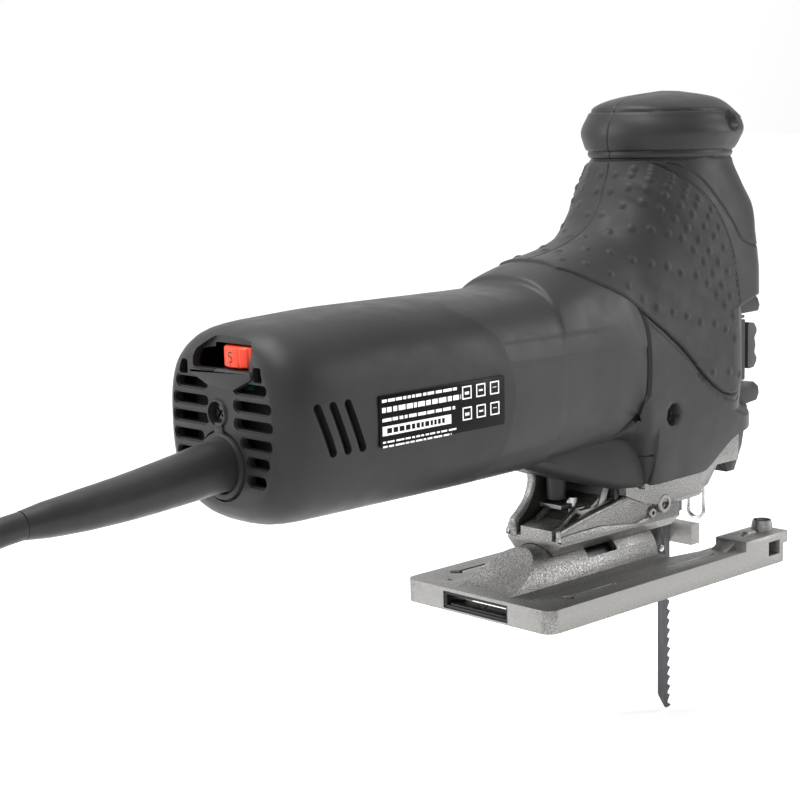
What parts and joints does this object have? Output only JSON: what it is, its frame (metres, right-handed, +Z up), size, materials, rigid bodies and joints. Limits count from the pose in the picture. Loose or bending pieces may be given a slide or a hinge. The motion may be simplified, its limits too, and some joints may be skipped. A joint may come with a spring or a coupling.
{
  "type": "jigsaw power tool",
  "caption": "Corded barrel-grip jigsaw: motor housing with knob-topped body, tilting cast sole, roller-guided reciprocating blade and mains lead.",
  "frame": {"origin": "in the plane of the sole, on the centre line of the blade", "axes": "+X forward along the motor towards the blade teeth, +Y to the left, +Z up"},
  "size_m": [0.701, 0.0836, 0.2652],
  "materials": {
    "housing_plastic": "fine satin texture",
    "grip_rubber": "matt elastomer with raised dots",
    "fasteners": "black zinc",
    "label": "printed film",
    "bezel_plastic": "satin",
    "slider_rubber": "matt",
    "black_plastic": "satin",
    "dial_plastic": "satin",
    "circuit_board": "coated",
    "cord_rubber": "smooth",
    "plated_pins": "nickel plated",
    "lamination_steel": "stacked sheet",
    "copper_wire": "enamelled",
    "turned_steel": "ground",
    "commutator_copper": "turned",
    "fan_plastic": "moulded",
    "brush_board": "moulded phenolic",
    "carbon": "pressed carbon",
    "cast_aluminium": "die cast, blasted",
    "dark_steel": "black oxide",
    "bush_bronze": "sintered",
    "blade_steel": "ground, set teeth",
    "lever_zinc": "die cast",
    "lamp_lens": "clear",
    "bright_wire": "drawn"
  },
  "bodies": {
    "root": {"motor_housing": "housing_plastic", "rear_cover": "housing_plastic", "handle_right": "housing_plastic", "handle_left": "housing_plastic", "grip_pad_right": "grip_rubber", "grip_pad_left": "grip_rubber", "fan_cover": "housing_plastic", "housing_screws": "fasteners", "rating_plate": "label", "switch_bezel": "bezel_plastic", "switch_unit": "black_plastic", "speed_controller": "circuit_board", "cord_guard": "cord_rubber", "cord_clamp": "housing_plastic", "power_cord": "cord_rubber", "cord_hank": "cord_rubber", "cord_tail": "cord_rubber", "cord_tie": "black_plastic", "plug_body": "cord_rubber", "plug_pins": "plated_pins", "stator_core": "lamination_steel", "field_coils": "copper_wire", "rear_bearing": "turned_steel", "front_bearing": "turned_steel", "brush_holders": "brush_board", "carbon_brushes": "carbon", "gear_housing": "cast_aluminium", "gear_pin": "turned_steel", "guide_pivot": "turned_steel", "retainer_pin": "turned_steel", "opener_pin": "turned_steel", "led_lamp": "lamp_lens", "wire_guard": "bright_wire", "base_bolt": "bright_wire"},
    "armature": {"armature_shaft": "turned_steel", "armature_core": "lamination_steel", "armature_windings": "copper_wire", "commutator": "commutator_copper", "fan": "fan_plastic"},
    "gear": {"drive_gear": "turned_steel", "crank_pin": "turned_steel"},
    "guide": {"plunger_guide": "dark_steel", "guide_bushes": "bush_bronze"},
    "plunger": {"plunger": "turned_steel", "blade_clamp": "dark_steel", "saw_blade": "blade_steel"},
    "sleeve": {"clamp_sleeve": "dark_steel"},
    "retainer": {"roller_retainer": "dark_steel", "roller_pin": "turned_steel"},
    "roller": {"guide_roller": "dark_steel"},
    "orbit": {"orbit_lever": "lever_zinc"},
    "opener": {"opener_lever": "black_plastic"},
    "slider": {"switch_slider": "slider_rubber"},
    "dial": {"speed_dial": "dial_plastic"},
    "rail": {"base_clamp_plate": "dark_steel"},
    "sole": {"base_plate": "cast_aluminium", "dust_insert": "black_plastic"}
  },
  "joints": [
    {"name": "armature_spin", "type": "hinge", "parent": "root", "child": "armature", "pos_m": [0, 0, 0.091], "axis": [1, 0, 0], "continuous": true},
    {"name": "gear_spin", "type": "hinge", "parent": "root", "child": "gear", "pos_m": [0, 0, 0.064], "axis": [1, 0, 0], "continuous": true},
    {"name": "guide_swing", "type": "hinge", "parent": "root", "child": "guide", "pos_m": [0, 0, 0.1075], "axis": [0, -1, 0], "range_deg": [0, 1.6]},
    {"name": "blade_stroke", "type": "slide", "parent": "guide", "child": "plunger", "axis": [0, 0, 1], "range_m": [-0.006, 0.02]},
    {"name": "clamp_turn", "type": "hinge", "parent": "plunger", "child": "sleeve", "pos_m": [0, 0, 0.028], "axis": [0, 0, 1], "range_deg": [-45, 0]},
    {"name": "retainer_swing", "type": "hinge", "parent": "root", "child": "retainer", "pos_m": [-0.012, 0, 0.027], "axis": [0, -1, 0], "range_deg": [0, 7.5]},
    {"name": "roller_spin", "type": "hinge", "parent": "retainer", "child": "roller", "pos_m": [-0.0093, 0, 0.008], "axis": [0, 1, 0], "continuous": true},
    {"name": "orbit_select", "type": "hinge", "parent": "root", "child": "orbit", "pos_m": [-0.03, 0.018, 0.0373], "axis": [0, -1, 0], "range_deg": [0, 40]},
    {"name": "opener_swing", "type": "hinge", "parent": "root", "child": "opener", "pos_m": [0.031, 0.0065, 0.045], "axis": [0, 0, 1], "range_deg": [0, 80]},
    {"name": "switch_slide", "type": "slide", "parent": "root", "child": "slider", "axis": [0, 0, 1], "range_m": [0, 0.006]},
    {"name": "speed_select", "type": "hinge", "parent": "root", "child": "dial", "pos_m": [-0.2267, -0.0055, 0.114], "axis": [0, 0, 1], "range_deg": [-240, 0]},
    {"name": "sole_slide", "type": "slide", "parent": "root", "child": "rail", "axis": [-1, 0, 0], "range_m": [0, 0.01]},
    {"name": "sole_tilt", "type": "hinge", "parent": "rail", "child": "sole", "pos_m": [-0.05, 0, 0.009], "axis": [-1, 0, 0], "range_deg": [-45, 45]}
  ],
  "couplings": [
    {"joint": "gear_spin", "follows": "armature_spin", "ratio": -0.17391},
    {"joint": "guide_swing", "follows": "retainer_swing", "ratio": 0.2},
    {"joint": "opener_swing", "follows": "clamp_turn", "ratio": -1.6667}
  ]
}
